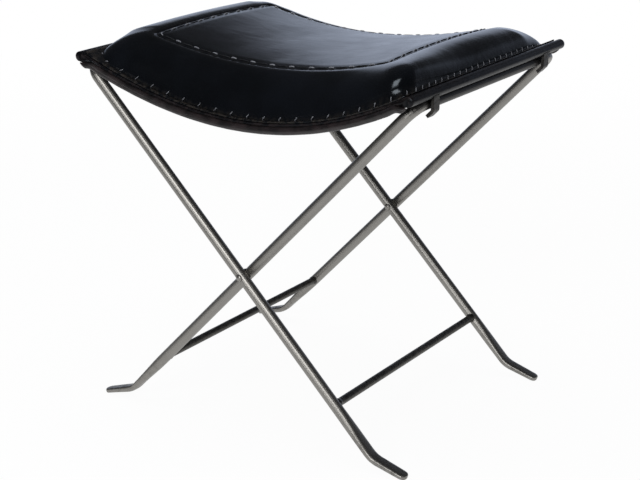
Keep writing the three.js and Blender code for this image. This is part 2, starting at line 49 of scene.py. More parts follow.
# Camera of the photograph, 640 by 480 pixels: places in metres, lens and film in millimetres. The picture is
# moved by half a pixel, as a share of its width.
CAMERA_PLACE = (1.07962, -1.70066, 0.85771)
CAMERA_TARGET = (-0.00089, -0.00777, 0.20833)
CAMERA_LENS = 90.48
CAMERA_SENSOR = 36.0
HALF_PIXEL = 0.5 / 640

# Frame sizes that the seat hangs on.
RAIL_X = 228.85
RAIL_Z = 447.9
END_ROD_X = 234.65
END_ROD_RADIUS = 4.5
SLEEVE_RADIUS = 6.3
SLEEVE_REACH = 13.6
LEG_TURN = math.radians(46.0)

# Seat sizes. The skive starts at a share of the half width, and its stations are shares too.
SEAT_WIDTH = 398.0
SEAT_SAG = 61.3
EDGE_DRAW_IN = 16.0
BASE_THICKNESS = 3.5
BASE_SKIVE = 0.5
SKIVE_START = 0.993
SKIVE_STATIONS = np.array([0.994, 0.9985, 1])
RETURN_INSET = 10.8
GAP = 0.3
SLEEVE_END_DEPTH = 3.8
FOLD_REACH = 18.0
HOOK_Y = 144.0
NOTCH_WIDTH = 14.2
NOTCH_START = 236.15
NOTCH_DROP = 1.2
NOTCH_REACH = 40.0

# Rolled hem. Its lap, flat, swell and end share are shares of its radius, the lap's place and spread are
# angles round it, and the two waves of its swell are radians in a millimetre.
HEM_DIAMETER = 9.0
HEM_SLIM = 0.12
HEM_END_SHARE = 0.72
HEM_TAPER = 24.0
HEM_INSET = 4.0
HEM_NOSE = 2.5
HEM_FLARE = 30.0
HEM_END_DROP = 0.6
HEM_OVERHANG = 1.0
HEM_DOME = 9.0
HEM_LAP = 0.10
HEM_LAP_PLACE = 0.9
HEM_LAP_SPREAD = 0.2
HEM_FLAT = 0.34
HEM_SWELL = 0.012
HEM_WAVE = 0.21
HEM_SLOW_WAVE = 0.037

# Cushion: half lengths, half widths, rounds and heights. The powers shape the climb of its bolster, and the
# rounds of the panel's rings lose a share of their inset.
FLANGE_LENGTH = 229.65
FLANGE_WIDTH = 197.0
FLANGE_ROUND = 7.0
FLANGE_TOP = 2.3
FLANGE_BEVEL = 0.5
FLANGE_TOP_BEVEL = 0.6
BODY_LENGTH = 221.65
BODY_WIDTH = 189.0
BODY_ROUND = 26.0
PANEL_LENGTH = 170.0
PANEL_WIDTH = 132.0
PANEL_ROUND = 8.0
PANEL_DRAW_IN = 4.0
PANEL_INSETS = (1.2, 3.0, 5.0, 8.0, 12.0)
ROUND_LOSS = 0.6
LEAST_ROUND = 2.5
CORNER_CROWN = 47.5
LENGTH_CROWN = 9.5
WIDTH_CROWN = 4.5
PANEL_FULLNESS = 3.0
BOLSTER_POWER = 1.5
RING_POWER = 1.7
CORNER_SLACK = 0.95
CORNER_FULLNESS = 0.5
FULL_ALONG = 120.0
FULL_ACROSS = 170.0
CREASE_DEPTH = 1.4
CREASE_REACH = 6.0
PANEL_THICKNESS = 2.0
PANEL_LIFT = 0.35
PANEL_SET_IN = 0.45
PANEL_ROUND_OFF = 0.5
PANEL_SHOULDER = 0.35

# Swelling by cloth: the solver's pressure, frames to settle, the most a point may go, and smoothing passes.
CLOTH_PRESSURE = 4
CLOTH_FRAMES = 20
CLOTH_CAP = 4.0
RIPPLE_PASSES = 40

# Pinches beside the stitches and folds at the corners of the cushion. The fan is the angle over which the
# folds fade, the rate is how many would go into a full turn, and those of the full corner are larger.
PINCH_DEPTH = 0.7
PINCH_HEIGHT = 4.5
PINCH_REACH = 2.6
PINCH_START = 1.5
FOLD_INSET = 34.0
FOLD_RADIUS = 36.0
FOLD_BAND = 13.0
FOLD_FAN = 0.40
FOLD_RATE = 19
FOLD_PHASE = (0.8, 1.3)
FOLD_OUT = 1.3
FOLD_UP = 0.7
FULL_FOLDS = 2.5

# Wear of the leather, from 0 for new to 1 for rubbed brown: the seat's faces, the flange, the foot of the
# bolster, the last rings before the seam, and the panel's edge.
FACE_WEAR = 0.25
FLANGE_WEAR = 0.9
FOOT_WEAR = 0.35
SEAM_WEAR = np.array([0.0, 0.05, 0.1, 0.2])
PANEL_EDGE_WEAR = 0.3

# Stitches. A flange thread has a lift and a radius at each row, counted in rings from the foot ring.
SIDE_PITCH = 23.0
END_PITCH = 15.0
SEAM_PITCH = 28.0
STITCH_CLIMB = 3.7
STITCH_ROWS = np.array([-0.5, -0.25, 0.0, 0.35, 0.8, 1.2, 1.45])
STITCH_LIFT = np.array([-0.6, 0.2, 0.6, 0.6, 0.5, 0.2, -0.6])
THREAD_SHAPE = np.array([0.35, 0.55, 0.6, 0.6, 0.6, 0.55, 0.35])
PALE_RUN = 8.0
BLACK_GAP = 9.5
THREAD_DIP = 0.5
THREAD_TIP = 0.45

# Grid counts: along the length, the width, one rounded corner and up the bolster.
LENGTH_CELLS = 96
WIDTH_CELLS = 74
CORNER_CELLS = 6
LONG_SIDE = LENGTH_CELLS + CORNER_CELLS
SHORT_SIDE = WIDTH_CELLS + CORNER_CELLS
BOLSTER_RINGS = 24
FOOT_RING = 7
SEAM_RING = FOOT_RING + BOLSTER_RINGS
STITCH_RING = SEAM_RING + 3

# Studio, in metres and watts.
FLOOR_REACH = 2.4
FLOOR_SIDES = 96
WALL_WAY = (-0.45, 0.893, 0.0)


def linear(code):
    """sRGB hex to linear colour."""
    parts = [int(code[i:i + 2], 16) / 255 for i in (1, 3, 5)]
    return [p / 12.92 if p <= 0.04045 else ((p + 0.055) / 1.055) ** 2.4 for p in parts]


# ---------------------------------------------------------------- camera

def make_camera():
    """The photograph's view: a long lens from the front right, a little above the seat."""
    data = bpy.data.cameras.new("camera")
    data.lens = CAMERA_LENS
    data.sensor_width = CAMERA_SENSOR
    data.shift_x = -HALF_PIXEL
    data.shift_y = HALF_PIXEL
    camera = bpy.data.objects.new("camera", data)
    bpy.context.scene.collection.objects.link(camera)
    camera.location = CAMERA_PLACE
    way = Vector(CAMERA_TARGET) - Vector(CAMERA_PLACE)
    camera.rotation_euler = way.to_track_quat("-Z", "Y").to_euler()
    bpy.context.scene.camera = camera


make_camera()


# ---------------------------------------------------------------- materials

def add_node(tree, kind, *fed, out=None, **named):
    """Adds a node: named values go to the setting or input of that name, the rest to the open inputs in
    order. A value is set and a socket is linked. Gives back the output called out, or the first open one."""
    node = tree.nodes.new("ShaderNode" + kind)
    for key, value in named.items():
        if hasattr(node, key):
            setattr(node, key, value)
    fed_by_name = [key for key in named if not hasattr(node, key)]
    pairs = [(node.inputs[key.replace("_", " ")], named[key]) for key in fed_by_name]
    pairs += zip([socket for socket in node.inputs if socket.enabled], fed)
    for socket, value in pairs:
        if isinstance(value, bpy.types.NodeSocket):
            tree.links.new(value, socket)
        elif socket.type == "RGBA":
            socket.default_value = (*value, 1)
        else:
            socket.default_value = value
    if out:
        return node.outputs[out]
    return next((socket for socket in node.outputs if socket.enabled), None)


def new_material(name):
    """An empty material and the function that adds nodes to it."""
    material = bpy.data.materials.new(name)
    material.use_nodes = True
    material.node_tree.nodes.clear()
    return material, functools.partial(add_node, material.node_tree)


def per_metre(size):
    """Pattern scale for a real size in millimetres."""
    return 1 / (size * MM)


SOFT = {"interpolation_type": "SMOOTHSTEP"}
COLOUR = {"data_type": "RGBA"}


def glazed_leather(name, dark="#060709", worn="#2a2622", shine=0.17, grain=0.08, bend=1.36):
    """Glazed cowhide, dyed through and plated: near black with a wet gloss that varies slowly, a faint pebble
    of 1.1 mm, long flat creases 17 mm apart, and brown where an edge is rubbed."""
    material, add = new_material(name)
    place = add("TexCoord", out="Object")
    tone = add("TexNoise", Vector=place, Scale=per_metre(70), Detail=3.0)
    tone = add("MapRange", tone, 0.35, 0.7, 0.0, 1.0, **SOFT)
    colour = add("Mix", tone, linear(dark), linear("#0a0c10"), **COLOUR)
    scuffs = add("TexNoise", Vector=place, Scale=per_metre(6), Detail=5.0)
    scuffs = add("MapRange", scuffs, 0.38, 0.62, 0.0, 1.0, **SOFT)
    wear = add("Attribute", attribute_name="wear", out="Fac")
    rubbed = add("Math", wear, scuffs, operation="MULTIPLY")
    browned = add("Math", rubbed, 0.8, operation="MULTIPLY")
    colour = add("Mix", browned, colour, linear(worn), **COLOUR)
    polish = add("TexNoise", Vector=place, Scale=per_metre(45), Detail=5.0, Roughness=0.6)
    polish = add("MapRange", polish, 0.25, 0.75, shine - 0.03, shine + 0.05, **SOFT)
    rough = add("Math", rubbed, 0.18, polish, operation="MULTIPLY_ADD")
    pebble = add("TexVoronoi", Vector=place, Scale=per_metre(1.1), feature="SMOOTH_F1")
    normal = add("Bump", Height=pebble, Strength=grain, Distance=0.2 * MM)
    stretch = (per_metre(38), per_metre(17), per_metre(17))
    turned = add("Mapping", Vector=place, Rotation=(0, 0, 0.5), Scale=stretch)
    creases = add("TexNoise", Vector=turned, Scale=1.0, Detail=5.0, Roughness=0.62, Distortion=0.8)
    normal = add("Bump", Height=creases, Strength=0.07, Distance=3 * MM, Normal=normal)
    waves = add("TexNoise", Vector=place, Scale=per_metre(110), Detail=2.0, Roughness=0.4)
    normal = add("Bump", Height=waves, Strength=0.12, Distance=12 * MM, Normal=normal)
    shader = add("BsdfPrincipled", Base_Color=colour, Roughness=rough, Normal=normal, IOR=bend,
                 Specular_Tint=(0.80, 0.90, 1.0))
    add("OutputMaterial", shader)
    return material


def edge_leather(name):
    """Vegetable tanned leather rolled wet and waxed: brown-black, duller than the cover, with long fibres
    that run along the roll."""
    material, add = new_material(name)
    place = add("TexCoord", out="Object")
    tone = add("TexNoise", Vector=place, Scale=per_metre(17), Detail=5.0)
    tone = add("MapRange", tone, 0.3, 0.7, 0.0, 1.0, **SOFT)
    colour = add("Mix", tone, linear("#0b090a"), linear("#211a1b"), **COLOUR)
    along = add("Mapping", Vector=place, Scale=(per_metre(25), per_metre(2), per_metre(2)))
    fibres = add("TexNoise", Vector=along, Scale=1.0, Detail=4.0, Roughness=0.6)
    rough = add("MapRange", fibres, 0.3, 0.7, 0.36, 0.52, **SOFT)
    normal = add("Bump", Height=fibres, Strength=0.25, Distance=0.6 * MM)
    pebble = add("TexVoronoi", Vector=place, Scale=per_metre(0.9), feature="SMOOTH_F1")
    normal = add("Bump", Height=pebble, Strength=0.2, Distance=0.2 * MM, Normal=normal)
    shader = add("BsdfPrincipled", Base_Color=colour, Roughness=rough, Normal=normal, IOR=1.48)
    add("OutputMaterial", shader)
    return material


def brushed_iron(name, turn, shaded_rail_side):
    """Mild steel bar, wire-brushed along its length and waxed: satin grey with fine streaks, hammered and
    scaled near the feet, and with painted shade that darkens the rail under the sleeve, between the hooks, at
    the side given as -1 or 1. The streaks are drawn at half a millimetre, coarser than real ones, so that
    they show."""
    material, add = new_material(name)
    place = add("TexCoord", out="Object")
    axes = add("SeparateXYZ", place, out="X").node.outputs
    length = add("Mapping", Vector=place, Rotation=(0, turn, 0))
    streak = (per_metre(100), per_metre(0.5), per_metre(0.5))
    length = add("VectorMath", length, streak, operation="MULTIPLY")
    streaks = add("TexNoise", Vector=length, Scale=1.0, Detail=4.0, Roughness=0.6)
    clouds = add("TexNoise", Vector=place, Scale=per_metre(17), Detail=6.0, Roughness=0.62)
    tone = add("MapRange", streaks, 0.3, 0.7, 0.0, 1.0, **SOFT)
    colour = add("Mix", tone, linear("#888682"), linear("#908e8a"), **COLOUR)
    dull = add("MapRange", clouds, 0.45, 0.85, 0.0, 0.45, **SOFT)
    colour = add("Mix", dull, colour, linear("#7a7773"), **COLOUR)
    low = add("MapRange", axes["Z"], 0.015, 0.09, 1.0, 0.0, **SOFT)
    flakes = add("TexNoise", Vector=place, Scale=per_metre(8), Detail=5.0, Roughness=0.65)
    flakes = add("MapRange", flakes, 0.42, 0.72, 0.0, 0.5, **SOFT)
    scale = add("Math", low, flakes, operation="MULTIPLY")
    colour = add("Mix", scale, colour, linear("#5a5753"), **COLOUR)
    # Painted shade: the rail under the sleeve, between the hooks, is darkened to near black as if in the
    # seat's shadow.
    sideways = add("Math", axes["X"], shaded_rail_side, operation="MULTIPLY")
    on_rail = add("MapRange", sideways, 0.214, 0.220, 0.0, 0.92, **SOFT)
    middle = add("Math", axes["Y"], operation="ABSOLUTE")
    middle = add("MapRange", middle, 0.152, 0.160, 1.0, 0.0, **SOFT)
    blacked = add("Math", on_rail, middle, operation="MULTIPLY")
    colour = add("Mix", blacked, colour, linear("#1c1b1b"), **COLOUR)
    rough = add("MapRange", streaks, 0.25, 0.75, 0.42, 0.46, **SOFT)
    rough = add("Math", scale, 0.2, rough, operation="MULTIPLY_ADD")
    normal = add("Bump", Height=streaks, Strength=0.012, Distance=0.2 * MM)
    dents = add("TexNoise", Vector=place, Scale=per_metre(11), Detail=2.0)
    dents = add("Math", dents, low, operation="MULTIPLY")
    normal = add("Bump", Height=dents, Strength=0.3, Distance=1.5 * MM, Normal=normal)
    shader = add("BsdfPrincipled", Base_Color=colour, Roughness=rough, Normal=normal, Metallic=1.0)
    add("OutputMaterial", shader)
    return material


def black_iron(name, light="#4a4846", dark="#242322"):
    """Forged iron blacked in oil: almost black and dull, with scale in flakes of 4.8 mm and small pits of
    2.4 mm, drawn coarser than real ones so that they show."""
    material, add = new_material(name)
    place = add("TexCoord", out="Object")
    clouds = add("TexNoise", Vector=place, Scale=per_metre(8), Detail=6.0, Roughness=0.62)
    tone = add("MapRange", clouds, 0.3, 0.7, 0.0, 1.0, **SOFT)
    colour = add("Mix", tone, linear(dark), linear(light), **COLOUR)
    rough = add("MapRange", clouds, 0.3, 0.75, 0.36, 0.58, **SOFT)
    pits = add("TexNoise", Vector=place, Scale=per_metre(2.4), Detail=4.0)
    normal = add("Bump", Height=pits, Strength=0.35, Distance=0.5 * MM)
    scale = add("TexVoronoi", Vector=place, Scale=per_metre(4.8), feature="SMOOTH_F1")
    normal = add("Bump", Height=scale, Strength=0.35, Distance=0.9 * MM, Normal=normal)
    shader = add("BsdfPrincipled", Base_Color=colour, Roughness=rough, Normal=normal, Metallic=0.9)
    add("OutputMaterial", shader)
    return material


def waxed_thread(name, light, dark):
    """Twisted linen thread drawn through wax: dull, with the twist showing as specks two thirds of a
    millimetre long."""
    material, add = new_material(name)
    place = add("TexCoord", out="Object")
    twist = add("TexNoise", Vector=place, Scale=per_metre(0.67), Detail=2.0)
    tone = add("MapRange", twist, 0.35, 0.65, 0.0, 1.0, **SOFT)
    colour = add("Mix", tone, linear(dark), linear(light), **COLOUR)
    normal = add("Bump", Height=twist, Strength=0.5, Distance=0.4 * MM)
    shader = add("BsdfPrincipled", Base_Color=colour, Roughness=0.5, Normal=normal)
    add("OutputMaterial", shader)
    return material


# ---------------------------------------------------------------- mesh helpers

def mesh_object(name, points, quads, materials, wear=None, caps=()):
    """A smooth mesh from points in millimetres; caps are further faces of any number of corners."""
    mesh = bpy.data.meshes.new(name)
    mesh.from_pydata((np.asarray(points) * MM).tolist(), [], [*np.asarray(quads).tolist(), *caps])
    if wear is not None:
        store = mesh.attributes.new("wear", "FLOAT", "POINT")
        store.data.foreach_set("value", np.asarray(wear, dtype=np.float32))
    mesh.shade_smooth()
    for material in materials:
        mesh.materials.append(material)
    piece = bpy.data.objects.new(name, mesh)
    bpy.context.scene.collection.objects.link(piece)
    return piece


def ring_quads(rings, count):
    """Quads between rings of equal count; each ring is closed on itself."""
    i, j = np.meshgrid(np.arange(rings - 1), np.arange(count), indexing="ij")
    k = (j + 1) % count
    n = i + 1
    quads = [i * count + j, i * count + k, n * count + k, n * count + j]
    return np.stack(quads, axis=-1).reshape(-1, 4)


def unit(vectors):
    """Each vector over its own length."""
    return vectors / np.maximum(np.linalg.norm(vectors, axis=-1, keepdims=True), 1e-9)


def end_caps(count, rings):
    """One face on the first and one on the last ring of a loft."""
    return [list(range(count))[::-1], list(range((rings - 1) * count, rings * count))]


def ease(share):
    """0 to 1 with level ends."""
    share = np.clip(share, 0, 1)
    return share * share * (3 - 2 * share)


def full_turn(sides):
    """Evenly spaced angles once round."""
    return np.arange(sides) / sides * 2 * np.pi


def tubes(centres, normals, radii, sides=8):
    """Round threads: a circle of each station's radius, square to the thread, carried along it. Centres and
    normals are (thread, station, 3), radii (station,) in millimetres."""
    way = unit(np.gradient(centres, axis=1))
    across = unit(np.cross(way, normals))
    up = unit(np.cross(across, way))
    turn = full_turn(sides)
    spokes = across[:, :, None] * np.cos(turn)[None, None, :, None]
    spokes = spokes + up[:, :, None] * np.sin(turn)[None, None, :, None]
    points = centres[:, :, None] + spokes * radii[None, :, None, None]
    threads, stations = centres.shape[:2]
    first = (np.arange(threads) * stations * sides)[:, None, None]
    quads = ring_quads(stations, sides)[None, :, ::-1] + first
    caps = np.array(end_caps(sides, stations))[None, :, ::-1] + first
    return points.reshape(-1, 3), quads.reshape(-1, 4), caps.reshape(-1, sides).tolist()


# ---------------------------------------------------------------- seat base

def fit_sheet():
    """The base hangs in a parabola that runs smoothly on to the top of each sleeve. The place where they meet
    sets the slope there and the slope sets the place, so both are worked out in turn until they settle."""
    end_z = RAIL_Z + math.sqrt(SLEEVE_REACH ** 2 - (END_ROD_X - RAIL_X) ** 2)
    low = end_z + SLEEVE_RADIUS - SEAT_SAG
    tangent, curve = END_ROD_X, 0.0
    for _ in range(30):
        slope = math.atan(2 * curve * tangent)
        tangent = END_ROD_X - SLEEVE_RADIUS * math.sin(slope)
        curve = (end_z + SLEEVE_RADIUS * math.cos(slope) - low) / tangent ** 2
    return end_z, low, tangent, curve


END_ROD_Z, SHEET_LOW, TANGENT_X, SHEET_CURVE = fit_sheet()


def sheet_top(x):
    """Height of the base's upper face: its low point plus the parabola's curve times X squared."""
    return SHEET_LOW + SHEET_CURVE * x * x


def sheet_slope(x):
    """Angle of the parabola's tangent."""
    return np.arctan(2 * SHEET_CURVE * x)


def below_sheet(x, depth):
    """Points in X and Z at a depth under the base's upper face, square to it."""
    slope = sheet_slope(x)
    return np.stack([x + depth * np.sin(slope), sheet_top(x) - depth * np.cos(slope)], axis=1)


def drawn_in(x, amount):
    """How far a long side is drawn in: all of the amount in the middle, none at the end rods, a parabola."""
    return amount * np.maximum(0, 1 - (x / END_ROD_X) ** 2)


def base_profile(steps=64, arc=22):
    """The base's section in X and Z: the parabola of its upper face, an arc round one sleeve, the under face
    a thickness lower, and the arc mirrored for the other sleeve."""
    x = np.linspace(-TANGENT_X, TANGENT_X, steps + 1)
    upper = np.stack([x, sheet_top(x)], axis=1)
    start = math.pi / 2 + math.atan(2 * SHEET_CURVE * TANGENT_X)
    end = math.atan2(RAIL_Z - END_ROD_Z, RAIL_X - END_ROD_X)
    turn = np.linspace(start, end, arc + 1)
    round_rod = SLEEVE_RADIUS * np.stack([np.cos(turn), np.sin(turn)], axis=1)
    right = np.array([END_ROD_X, END_ROD_Z]) + round_rod
    corner = END_ROD_X - RETURN_INSET
    x = np.linspace(corner, -corner, steps + 1)
    lower = below_sheet(x, BASE_THICKNESS)
    left = right[::-1] * (-1, 1)
    return np.concatenate([upper[:-1], right, lower, left[:-1]])


def seat_base(material):
    """Leather strip: the section carried from front to rear, its long edges drawn in and skived along a
    quarter of an ellipse."""
    profile = base_profile()
    count = len(profile)
    across = np.concatenate([-SKIVE_STATIONS[::-1], np.linspace(-0.98, 0.98, 61), SKIVE_STATIONS])
    skive = np.clip((np.abs(across) - SKIVE_START) / (1 - SKIVE_START), 0, 1)
    half = SEAT_WIDTH / 2 - drawn_in(profile[:, 0], EDGE_DRAW_IN)
    back, ahead = np.roll(profile, 1, axis=0), np.roll(profile, -1, axis=0)
    way = unit(ahead - back)
    inward = np.stack([way[:, 1], -way[:, 0]], axis=1)
    rings = []
    for share, cut in zip(across, skive):
        place = profile + inward * (BASE_SKIVE * (1 - math.sqrt(1 - cut * cut)))
        rings.append(np.stack([place[:, 0], half * share, place[:, 1]], axis=1))
    points = np.concatenate(rings)
    quads = ring_quads(len(rings), count)
    wear = np.repeat(FACE_WEAR + (1 - FACE_WEAR) * skive, count)
    piece = mesh_object("seat_base_leather", points, quads, [material], wear, end_caps(count, len(rings)))
    for side in (-1, 1):
        for turn in (-1, 1):
            combine(piece, corner_fold(side, turn), "UNION")
        combine(piece, bore(side * END_ROD_X), "DIFFERENCE")
        for y in (-HOOK_Y, HOOK_Y):
            combine(piece, notch(side, y), "DIFFERENCE")
    return piece


def combine(piece, tool, operation):
    """Adds a closed mesh to another or cuts it out, then drops it."""
    step = piece.modifiers.new("combine", "BOOLEAN")
    step.operation = operation
    step.solver = "EXACT"
    step.object = tool
    bpy.context.view_layer.update()
    graph = bpy.context.evaluated_depsgraph_get()
    made = bpy.data.meshes.new_from_object(piece.evaluated_get(graph))
    piece.modifiers.remove(step)
    piece.data = made
    bpy.data.objects.remove(tool)


def block(section, low, high):
    """A section in X and Z, counter-clockwise seen from the front, carried along Y."""
    count = len(section)
    rings = [np.stack([section[:, 0], np.full(count, y), section[:, 1]], axis=1) for y in (high, low)]
    return mesh_object("block", np.concatenate(rings), ring_quads(2, count), [], caps=end_caps(count, 2))


def bore(x, sides=32):
    """Bore for an end rod, a round section; leather closes it at both ends."""
    turn = full_turn(sides)
    radius = END_ROD_RADIUS + GAP
    half = SEAT_WIDTH / 2 - SLEEVE_END_DEPTH
    section = np.stack([x + radius * np.cos(turn), END_ROD_Z + radius * np.sin(turn)], axis=1)
    return block(section, -half, half)


def notch(side, y):
    """The opening through which a hook comes out below the end rod."""
    near, far = sorted([side * NOTCH_START, side * (NOTCH_START + NOTCH_REACH)])
    top = END_ROD_Z - NOTCH_DROP
    low = top - NOTCH_REACH
    corners = np.array([(near, low), (far, low), (far, top), (near, top)])
    return block(corners, y - NOTCH_WIDTH / 2, y + NOTCH_WIDTH / 2)


def hem_station(x):
    """Axis, radius and tilt of the hem roll: it lies under the sheet and eases level below the sleeve, and
    its radius thins towards the ends as a square root."""
    reach = END_ROD_X - HEM_INSET
    near = np.clip((reach - np.abs(x)) / HEM_TAPER, 0, 1)
    radius = HEM_DIAMETER / 2 * (HEM_END_SHARE + (1 - HEM_END_SHARE) * np.sqrt(near))
    slope = sheet_slope(x)
    place = below_sheet(x, BASE_THICKNESS + GAP + radius)
    late = ease((np.abs(x) - reach + HEM_FLARE) / HEM_FLARE)[:, None]
    end = np.stack([x, END_ROD_Z - SLEEVE_RADIUS - GAP - radius - HEM_END_DROP], axis=1)
    return place + (end - place) * late, radius, slope * near


def corner_fold(side, turn, steps=12):
    """Leather folded down from the sheet between the end of a sleeve and the hem roll: the region between the
    middle of the sheet, the sleeve and the top of the hem, carried along Y."""
    x = np.linspace(END_ROD_X - FOLD_REACH, TANGENT_X, steps)
    upper = below_sheet(x, BASE_THICKNESS / 2)
    under_rod = END_ROD_X - GAP
    sleeve = np.array([(under_rod, END_ROD_Z), (under_rod, END_ROD_Z - SLEEVE_RADIUS)])
    x = np.linspace(END_ROD_X - HEM_INSET, END_ROD_X - FOLD_REACH, steps)
    place, radius, tilt = hem_station(x)
    lower = place + (radius + GAP)[:, None] * np.stack([-np.sin(tilt), np.cos(tilt)], axis=1)
    section = np.concatenate([upper, sleeve, lower])[::-1] * (turn, 1)
    edge = SEAT_WIDTH / 2 - GAP
    low, high = sorted([side * edge, side * (edge + GAP / 2 - SLEEVE_END_DEPTH)])
    return block(section if turn > 0 else section[::-1], low, high)


def hem_roll(name, side, material, stations=200, sides=24):
    """Rolled edge under the base: a circle carried along the hem's axis, with a shallow lap along it, slight
    unevenness, a squared upper inner quarter that lies to the base, and domed ends."""
    reach = END_ROD_X - HEM_INSET + HEM_NOSE
    x = reach * np.sin(np.linspace(-1, 1, stations) * math.pi / 2)
    place, radius, tilt = hem_station(x)
    y = side * (SEAT_WIDTH / 2 + HEM_OVERHANG - drawn_in(x, EDGE_DRAW_IN))
    turn = full_turn(sides)
    from_lap = np.angle(np.exp(1j * (turn - HEM_LAP_PLACE)))
    lap = HEM_LAP * np.exp(-((from_lap / HEM_LAP_SPREAD) ** 2))
    uneven = HEM_SWELL * np.sin(x * HEM_WAVE + 2 * np.sin(x * HEM_SLOW_WAVE))
    swell = 1 + uneven[:, None] - lap[None]
    dome = np.sqrt(np.clip((reach - np.abs(x)) / HEM_DOME, 0.01, 1))
    place[:, 1] += radius * (1 - dome)
    flat = 1 + HEM_FLAT * np.clip(np.sin(2 * turn - math.pi), 0, 1) * (turn < math.pi)
    radius = (radius - HEM_SLIM)[:, None] * swell * dome[:, None] * flat[None]
    up = np.stack([-np.sin(tilt), np.zeros(stations), np.cos(tilt)], axis=1)
    centre = np.stack([place[:, 0], y, place[:, 1]], axis=1)
    points = centre[:, None] + up[:, None] * (radius * np.sin(turn))[..., None]
    points[..., 1] += radius * np.cos(turn) * side
    points = points.reshape(-1, 3)
    quads = ring_quads(stations, sides)
    piece = mesh_object(name, points, quads, [material], caps=end_caps(sides, stations))
    if side < 0:
        piece.data.flip_normals()
    return piece


# ---------------------------------------------------------------- cushion

def outline(half_length, half_width, round_, amount):
    """Rounded rectangle, counter-clockwise from above: quarter circles joined by even steps, its long sides
    drawn in at the middle."""
    corners = [(1, 1), (-1, 1), (-1, -1), (1, -1)]
    ways = [(-1, 0), (0, -1), (1, 0), (0, 1)]
    points = []
    for side, ((sx, sy), way) in enumerate(zip(corners, ways)):
        turn = (side + np.arange(CORNER_CELLS + 1) / CORNER_CELLS) * math.pi / 2
        centre = np.array([sx * (half_length - round_), sy * (half_width - round_)])
        arc = centre + round_ * np.stack([np.cos(turn), np.sin(turn)], axis=1)
        lengthwise = side % 2 == 0
        count = LENGTH_CELLS if lengthwise else WIDTH_CELLS
        run = 2 * ((half_length if lengthwise else half_width) - round_)
        steps = np.arange(1, count)[:, None] * run / count
        points += [arc, arc[-1] + steps * np.array(way)]
    points = np.roll(np.concatenate(points), -CORNER_CELLS // 2, axis=0)
    points[:, 1] *= 1 - drawn_in(points[:, 0], amount) / half_width
    return points


def patch(ring):
    """Grid over a closed ring: the blend of one pair of sides plus the blend of the other pair, less the
    blend of the four corners (a Coons patch)."""
    a, b = LONG_SIDE, SHORT_SIDE
    far, left = ring[:a + 1], ring[a:a + b + 1]
    near = ring[a + b:2 * a + b + 1][::-1]
    right = np.concatenate([ring[2 * a + b:], ring[:1]])[::-1]
    u = (np.arange(a + 1) / a)[:, None, None]
    v = (np.arange(b + 1) / b)[None, :, None]
    grid = (1 - v) * far[:, None] + v * near[:, None] + (1 - u) * right[None] + u * left[None]
    grid -= (1 - u) * (1 - v) * far[0] + u * (1 - v) * far[-1] + (1 - u) * v * near[0] + u * v * near[-1]
    return grid


def patch_ids(rim_start, fresh_start):
    """Vertex numbers of a patch whose rim is an existing ring and whose inside is new."""
    a, b = LONG_SIDE, SHORT_SIDE
    ids = np.zeros((a + 1, b + 1), dtype=int)
    ids[1:-1, 1:-1] = fresh_start + np.arange((a - 1) * (b - 1)).reshape(a - 1, b - 1)
    ids[:, 0] = rim_start + np.arange(a + 1)
    ids[a, :] = rim_start + a + np.arange(b + 1)
    ids[:, b] = rim_start + a + b + np.arange(a + 1)[::-1]
    ids[0, 1:] = rim_start + 2 * a + 2 * b - np.arange(1, b + 1)
    return ids


def patch_quads(ids):
    """One quad for each cell of a grid of vertex numbers."""
    corners = [ids[:-1, :-1], ids[1:, :-1], ids[1:, 1:], ids[:-1, 1:]]
    return np.stack(corners, axis=-1).reshape(-1, 4)


def closed_quads(rows, under_count):
    """Quads of a closed body: the rings, the patch under the first ring and the patch over the last one. The
    points are the rings' first, then the inside of the lower patch and of the upper one."""
    fresh = rows * AROUND
    lower = patch_quads(patch_ids(0, fresh))[:, ::-1]
    upper = patch_quads(patch_ids(fresh - AROUND, fresh + under_count))
    return np.concatenate([ring_quads(rows, AROUND), lower, upper])


def panel_crown(x, y):
    """Height above the base: the corner height, plus a parabola along, one across, and their product."""
    spare_x = np.maximum(0, 1 - (x / PANEL_LENGTH) ** 2)
    spare_y = np.maximum(0, 1 - (y / PANEL_WIDTH) ** 2)
    sides = LENGTH_CROWN * spare_x + WIDTH_CROWN * spare_y
    return CORNER_CROWN + sides + PANEL_FULLNESS * spare_x * spare_y


def crease(distance):
    """Depth of the seam's valley at a distance from it: a bell curve."""
    return CREASE_DEPTH * np.exp(-((distance / CREASE_REACH) ** 2))


def seam_distance(x, y):
    """Distance inward from the panel's seam: that from a rounded rectangle, once the long sides are
    straightened."""
    across = y / (1 - drawn_in(x, PANEL_DRAW_IN) / PANEL_WIDTH)
    qx = np.abs(x) - (PANEL_LENGTH - PANEL_ROUND)
    qy = np.abs(across) - (PANEL_WIDTH - PANEL_ROUND)
    outside = np.hypot(np.maximum(qx, 0), np.maximum(qy, 0))
    return -(np.minimum(np.maximum(qx, qy), 0) + outside - PANEL_ROUND)


FLANGE = outline(FLANGE_LENGTH, FLANGE_WIDTH, FLANGE_ROUND, EDGE_DRAW_IN)
BODY = outline(BODY_LENGTH, BODY_WIDTH, BODY_ROUND, EDGE_DRAW_IN)
SEAM = outline(PANEL_LENGTH, PANEL_WIDTH, PANEL_ROUND, PANEL_DRAW_IN)
AROUND = len(FLANGE)


